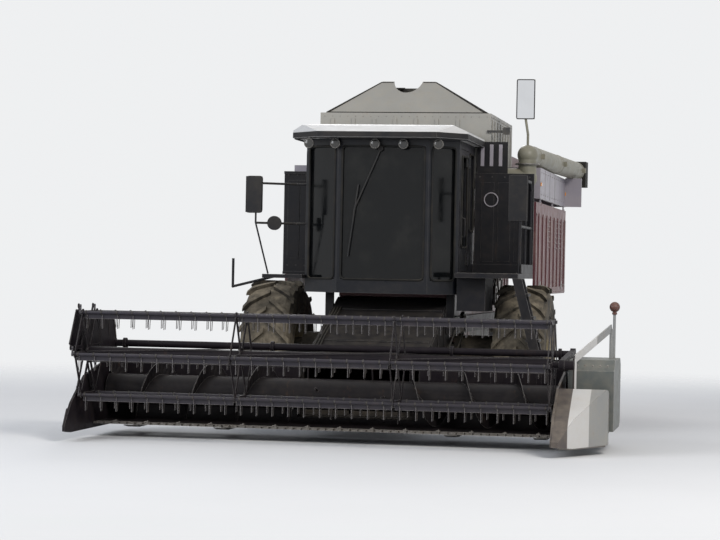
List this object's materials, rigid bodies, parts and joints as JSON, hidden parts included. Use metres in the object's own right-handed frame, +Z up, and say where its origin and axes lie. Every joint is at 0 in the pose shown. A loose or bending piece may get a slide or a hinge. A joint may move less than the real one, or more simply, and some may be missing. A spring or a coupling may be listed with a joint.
{
  "type": "combine harvester",
  "caption": "self-propelled grain harvester with cab, grain tank, cutting header, tined reel and folded unloading auger",
  "frame": {"origin": "On the ground under the middle of the machine, halfway between the header's divider tips and the straw hood's rear", "axes": "+Z is up, -Y is forward and +X is the machine's left side"},
  "size_m": [5.12, 9.05, 3.815],
  "materials": {
    "body_red": "faded maroon paint, dusty",
    "chassis_black": "black paint with dust",
    "axle_dusty": "dark castings under dust",
    "shoe_zinc": "zinc-plated sheet, dull",
    "tank_beige": "grey-beige paint, dusty",
    "panel_lilac": "light lilac-grey paint",
    "roof_white": "white shell, slightly dusty",
    "cab_dark": "dark navy paint",
    "cab_glass": "dark tinted glass",
    "cab_trim": "dark interior trim",
    "lamp_grey": "lamp housings",
    "engine_grey": "engine casting",
    "exhaust_rust": "heat-browned steel",
    "auger_olive": "beige-olive paint",
    "boot_rubber": "black rubber",
    "rim_dusty": "pale paint under dust",
    "tyre_dusty": "black rubber with pale dust",
    "header_black": "purple-black paint, worn",
    "bat_grey": "grey paint, worn bright",
    "steel_worn": "worn bare steel",
    "housing_teal": "grey-teal cover",
    "divider_white": "white paint, scuffed",
    "rod_chrome": "polished rod"
  },
  "bodies": {
    "chassis": {"frame": "chassis_black", "front_axle": "axle_dusty", "thresher_body": "body_red", "cleaning_shoe": "shoe_zinc", "grain_tank": "tank_beige", "tank_cover": "tank_beige", "engine_block": "engine_grey", "engine_hood": "body_red", "exhaust_stack": "exhaust_rust", "straw_hood": "body_red", "straw_chopper": "chassis_black", "cab_frame": "cab_dark", "cab_roof": "roof_white", "cab_glass": "cab_glass", "cab_interior": "cab_trim", "platform": "chassis_black", "mirrors": "cab_trim", "work_lamps": "lamp_grey", "grain_elevator": "body_red", "upper_panels": "panel_lilac", "auger_elbow": "auger_olive", "rear_axle": "axle_dusty"},
    "cab_door": {"door_frame": "cab_dark", "door_glass": "cab_glass"},
    "side_door_l": {"side_shield_l": "body_red"},
    "side_door_r": {"side_shield_r": "body_red"},
    "header": {"feeder_house": "chassis_black", "header_pan": "header_black", "header_frame": "header_black", "end_wall_right": "header_black", "drive_housing": "housing_teal", "divider_left": "divider_white", "cutter_bar": "steel_worn"},
    "cross_auger": {"header_auger": "steel_worn"},
    "arms": {"reel_arms": "header_black"},
    "reel_rotor": {"reel": "header_black"},
    "eccentric": {"control_spider": "header_black"},
    "lift_tubes": {"lift_barrels": "chassis_black"},
    "lift_pistons": {"lift_rods": "rod_chrome"},
    "reel_tubes": {"reel_barrels": "chassis_black"},
    "reel_pistons": {"reel_rods": "rod_chrome"},
    "unloader": {"unloading_tube": "auger_olive", "spout_boot": "boot_rubber"},
    "steer_left": {"knuckle_l": "axle_dusty"},
    "steer_right": {"knuckle_r": "axle_dusty"},
    "track_rod": {"tie_rod": "chassis_black"},
    "wheel_fl": {"rim_fl": "rim_dusty", "tyre_fl": "tyre_dusty"},
    "wheel_fr": {"rim_fr": "rim_dusty", "tyre_fr": "tyre_dusty"},
    "wheel_rl": {"rim_rl": "rim_dusty", "tyre_rl": "tyre_dusty"},
    "wheel_rr": {"rim_rr": "rim_dusty", "tyre_rr": "tyre_dusty"},
    "tines_1": {"tine_bar_1": "bat_grey"},
    "tines_2": {"tine_bar_2": "bat_grey"},
    "tines_3": {"tine_bar_3": "bat_grey"},
    "tines_4": {"tine_bar_4": "bat_grey"},
    "tines_5": {"tine_bar_5": "bat_grey"},
    "tines_6": {"tine_bar_6": "bat_grey"}
  },
  "joints": [
    {"name": "header_lift", "type": "hinge", "parent": "chassis", "child": "header", "pos_m": [0, -0.895, 1.12], "axis": [-1, 0, 0], "range_deg": [0, 20]},
    {"name": "auger_spin", "type": "hinge", "parent": "header", "child": "cross_auger", "pos_m": [0, -3.145, 0.44], "axis": [1, 0, 0], "continuous": true},
    {"name": "reel_lift", "type": "hinge", "parent": "header", "child": "arms", "pos_m": [0, -2.825, 0.88], "axis": [-1, 0, 0], "range_deg": [0, 22]},
    {"name": "reel_spin", "type": "hinge", "parent": "arms", "child": "reel_rotor", "pos_m": [0, -3.975, 0.82], "axis": [1, 0, 0], "continuous": true},
    {"name": "eccentric_spin", "type": "hinge", "parent": "arms", "child": "eccentric", "pos_m": [0, -3.975, 0.88], "axis": [1, 0, 0], "continuous": true},
    {"name": "lift_tube_swing", "type": "hinge", "parent": "chassis", "child": "lift_tubes", "pos_m": [0, -0.725, 0.5], "axis": [-1, 0, 0], "range_deg": [0, 17.5]},
    {"name": "lift_stroke", "type": "slide", "parent": "lift_tubes", "child": "lift_pistons", "axis": [0, -0.9943, -0.1071], "range_m": [0, 0.216]},
    {"name": "reel_tube_swing", "type": "hinge", "parent": "header", "child": "reel_tubes", "pos_m": [0, -3.065, 0.4], "axis": [-1, 0, 0], "range_deg": [0, 16.5]},
    {"name": "reel_stroke", "type": "slide", "parent": "reel_tubes", "child": "reel_pistons", "axis": [0, -0.7834, 0.6216], "range_m": [0, 0.2]},
    {"name": "unload_swing", "type": "hinge", "parent": "chassis", "child": "unloader", "pos_m": [1.29, 0.205, 2.86], "axis": [0, 0, -1], "range_deg": [0, 95]},
    {"name": "door_swing", "type": "hinge", "parent": "chassis", "child": "cab_door", "pos_m": [0.75, -0.624, 2.3], "axis": [0, 0, 1], "range_deg": [0, 85]},
    {"name": "side_door_l_swing", "type": "hinge", "parent": "chassis", "child": "side_door_l", "pos_m": [1.3975, 1.875, 2.457], "axis": [0, -1, 0], "range_deg": [0, 60]},
    {"name": "side_door_r_swing", "type": "hinge", "parent": "chassis", "child": "side_door_r", "pos_m": [-1.3975, 1.875, 2.457], "axis": [0, 1, 0], "range_deg": [0, 60]},
    {"name": "steer_l", "type": "hinge", "parent": "chassis", "child": "steer_left", "pos_m": [0.82, 3.225, 0.525], "axis": [0, 0, 1], "range_deg": [-35, 35]},
    {"name": "steer_r", "type": "hinge", "parent": "chassis", "child": "steer_right", "pos_m": [-0.82, 3.225, 0.525], "axis": [0, 0, 1], "range_deg": [-35, 35]},
    {"name": "track_rod_turn", "type": "hinge", "parent": "steer_left", "child": "track_rod", "pos_m": [0.82, 3.455, 0.65], "axis": [0, 0, 1], "range_deg": [-35, 35]},
    {"name": "spin_fl", "type": "hinge", "parent": "chassis", "child": "wheel_fl", "pos_m": [1.365, -0.425, 0.765], "axis": [1, 0, 0], "continuous": true},
    {"name": "spin_fr", "type": "hinge", "parent": "chassis", "child": "wheel_fr", "pos_m": [-1.365, -0.425, 0.765], "axis": [1, 0, 0], "continuous": true},
    {"name": "spin_rl", "type": "hinge", "parent": "steer_left", "child": "wheel_rl", "pos_m": [1.1, 3.225, 0.525], "axis": [1, 0, 0], "continuous": true},
    {"name": "spin_rr", "type": "hinge", "parent": "steer_right", "child": "wheel_rr", "pos_m": [-1.1, 3.225, 0.525], "axis": [1, 0, 0], "continuous": true},
    {"name": "tines_1_turn", "type": "hinge", "parent": "reel_rotor", "child": "tines_1", "pos_m": [0, -4.2, 1.20971], "axis": [1, 0, 0], "continuous": true},
    {"name": "tines_2_turn", "type": "hinge", "parent": "reel_rotor", "child": "tines_2", "pos_m": [0, -3.75, 1.20971], "axis": [1, 0, 0], "continuous": true},
    {"name": "tines_3_turn", "type": "hinge", "parent": "reel_rotor", "child": "tines_3", "pos_m": [0, -3.525, 0.82], "axis": [1, 0, 0], "continuous": true},
    {"name": "tines_4_turn", "type": "hinge", "parent": "reel_rotor", "child": "tines_4", "pos_m": [0, -3.75, 0.43029], "axis": [1, 0, 0], "continuous": true},
    {"name": "tines_5_turn", "type": "hinge", "parent": "reel_rotor", "child": "tines_5", "pos_m": [0, -4.2, 0.43029], "axis": [1, 0, 0], "continuous": true},
    {"name": "tines_6_turn", "type": "hinge", "parent": "reel_rotor", "child": "tines_6", "pos_m": [0, -4.425, 0.82], "axis": [1, 0, 0], "continuous": true}
  ],
  "couplings": [
    {"joint": "eccentric_spin", "follows": "reel_spin", "ratio": 1},
    {"joint": "lift_tube_swing", "follows": "header_lift", "ratio": 0.87},
    {"joint": "lift_stroke", "follows": "header_lift", "m_per_rad": 0.615},
    {"joint": "reel_tube_swing", "follows": "reel_lift", "ratio": 0.7441},
    {"joint": "reel_stroke", "follows": "reel_lift", "m_per_rad": 0.5061},
    {"joint": "steer_r", "follows": "steer_l", "ratio": 1},
    {"joint": "track_rod_turn", "follows": "steer_l", "ratio": -1},
    {"joint": "tines_1_turn", "follows": "reel_spin", "ratio": -1},
    {"joint": "tines_2_turn", "follows": "reel_spin", "ratio": -1},
    {"joint": "tines_3_turn", "follows": "reel_spin", "ratio": -1},
    {"joint": "tines_4_turn", "follows": "reel_spin", "ratio": -1},
    {"joint": "tines_5_turn", "follows": "reel_spin", "ratio": -1},
    {"joint": "tines_6_turn", "follows": "reel_spin", "ratio": -1}
  ]
}
